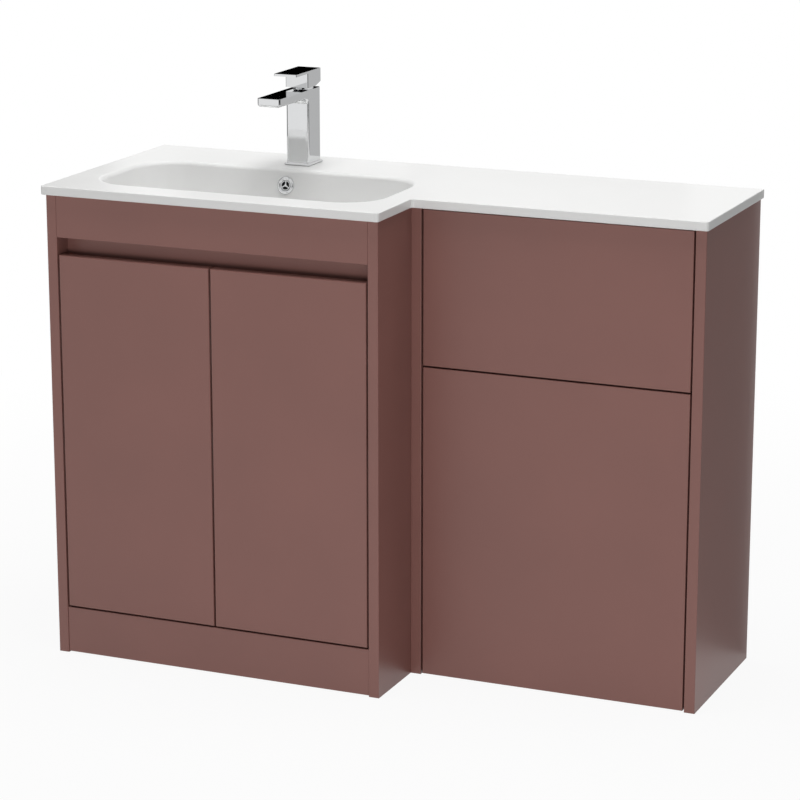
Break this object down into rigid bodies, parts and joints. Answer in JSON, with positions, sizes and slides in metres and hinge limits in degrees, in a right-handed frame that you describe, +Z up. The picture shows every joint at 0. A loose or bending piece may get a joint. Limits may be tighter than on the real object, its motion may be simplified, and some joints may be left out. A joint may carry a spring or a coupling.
{
  "type": "vanity unit with basin, tap and back-to-wall toilet furniture",
  "caption": "L-shaped bathroom unit: inset-door vanity cabinet and shallower toilet furniture unit under a one-piece top with moulded bowl, overflow and lever mixer tap.",
  "frame": {"origin": "centre of the bounding box at floor level", "axes": "+X along the unit to the toilet furniture side, +Y to the wall, +Z up; the doors face -Y"},
  "size_m": [1.11, 0.44, 0.978],
  "materials": {
    "painted_board": "satin paint on MDF",
    "plain_board": "matt foil on chipboard",
    "cast_top": "satin white gel coat",
    "chrome": "polished chrome",
    "zinc_steel": "zinc plated",
    "brass": "machined",
    "rubber": "matt",
    "plastic": "moulded"
  },
  "bodies": {
    "cabinet": {"vanity_left_side": "painted_board", "vanity_right_side": "painted_board", "vanity_plinth": "painted_board", "vanity_fascia": "painted_board", "handle_channel": "painted_board", "wc_left_side": "painted_board", "wc_right_side": "painted_board", "wc_lower_panel": "painted_board", "vanity_base_panel": "plain_board", "plinth_batten": "plain_board", "vanity_top_rail": "plain_board", "vanity_lower_rail": "plain_board", "vanity_shelf": "plain_board", "wc_top_rail": "plain_board", "wc_lower_rail": "plain_board", "wc_left_batten": "plain_board", "wc_right_batten": "plain_board", "wc_cross_rail": "plain_board", "overflow_ring": "chrome", "overflow_insert": "chrome", "waste_body": "chrome", "tap_body": "chrome", "hinge_arms": "zinc_steel", "hinge_plates": "zinc_steel", "plate_screws": "zinc_steel", "arm_screws": "zinc_steel", "shelf_pins": "zinc_steel", "connector_sleeves": "zinc_steel", "connector_bolts": "zinc_steel", "wall_brackets": "zinc_steel", "bracket_screws": "zinc_steel", "tap_fixing_stud": "zinc_steel", "tap_steel_washer": "zinc_steel", "tap_cartridge": "brass", "tap_fixing_nut": "brass", "waste_seal": "rubber", "tap_base_seal": "rubber", "tap_rubber_washer": "rubber", "door_bumpers": "rubber", "overflow_elbow": "plastic", "waste_back_nut": "plastic", "tap_aerator": "plastic", "wc_clip_sockets": "plastic", "basin_top": "cast_top"},
    "left_door": {"left_door": "painted_board", "left_hinge_cups": "zinc_steel", "left_hinge_pins": "zinc_steel", "left_cup_screws": "zinc_steel"},
    "right_door": {"right_door": "painted_board", "right_hinge_cups": "zinc_steel", "right_hinge_pins": "zinc_steel", "right_cup_screws": "zinc_steel"},
    "access_panel": {"wc_upper_panel": "painted_board", "wc_clip_studs": "plastic"},
    "waste_plug": {"waste_plug": "chrome"},
    "tap_swivel": {"tap_rotor": "chrome", "tap_cross_pin": "zinc_steel"},
    "tap_handle": {"tap_lever": "chrome", "tap_stem": "brass", "lever_grub_screw": "zinc_steel"}
  },
  "joints": [
    {"name": "left_door_hinge", "type": "hinge", "parent": "cabinet", "child": "left_door", "pos_m": [-0.519, -0.2014, 0.18], "axis": [0, 0, -1], "range_deg": [0, 95]},
    {"name": "right_door_hinge", "type": "hinge", "parent": "cabinet", "child": "right_door", "pos_m": [0.019, -0.2014, 0.18], "axis": [0, 0, 1], "range_deg": [0, 95]},
    {"name": "access_panel_pull", "type": "slide", "parent": "cabinet", "child": "access_panel", "axis": [0, -1, 0], "range_m": [0, 0.15]},
    {"name": "waste_plug_lift", "type": "slide", "parent": "cabinet", "child": "waste_plug", "axis": [0, 0, 1], "range_m": [0, 0.008]},
    {"name": "tap_swivel", "type": "hinge", "parent": "cabinet", "child": "tap_swivel", "pos_m": [-0.245, 0.1472, 0.9415], "axis": [0, 0, 1], "range_deg": [-45, 45]},
    {"name": "tap_lift", "type": "hinge", "parent": "tap_swivel", "child": "tap_handle", "pos_m": [-0.245, 0.1472, 0.9415], "axis": [-1, 0, 0], "range_deg": [0, 18]}
  ]
}
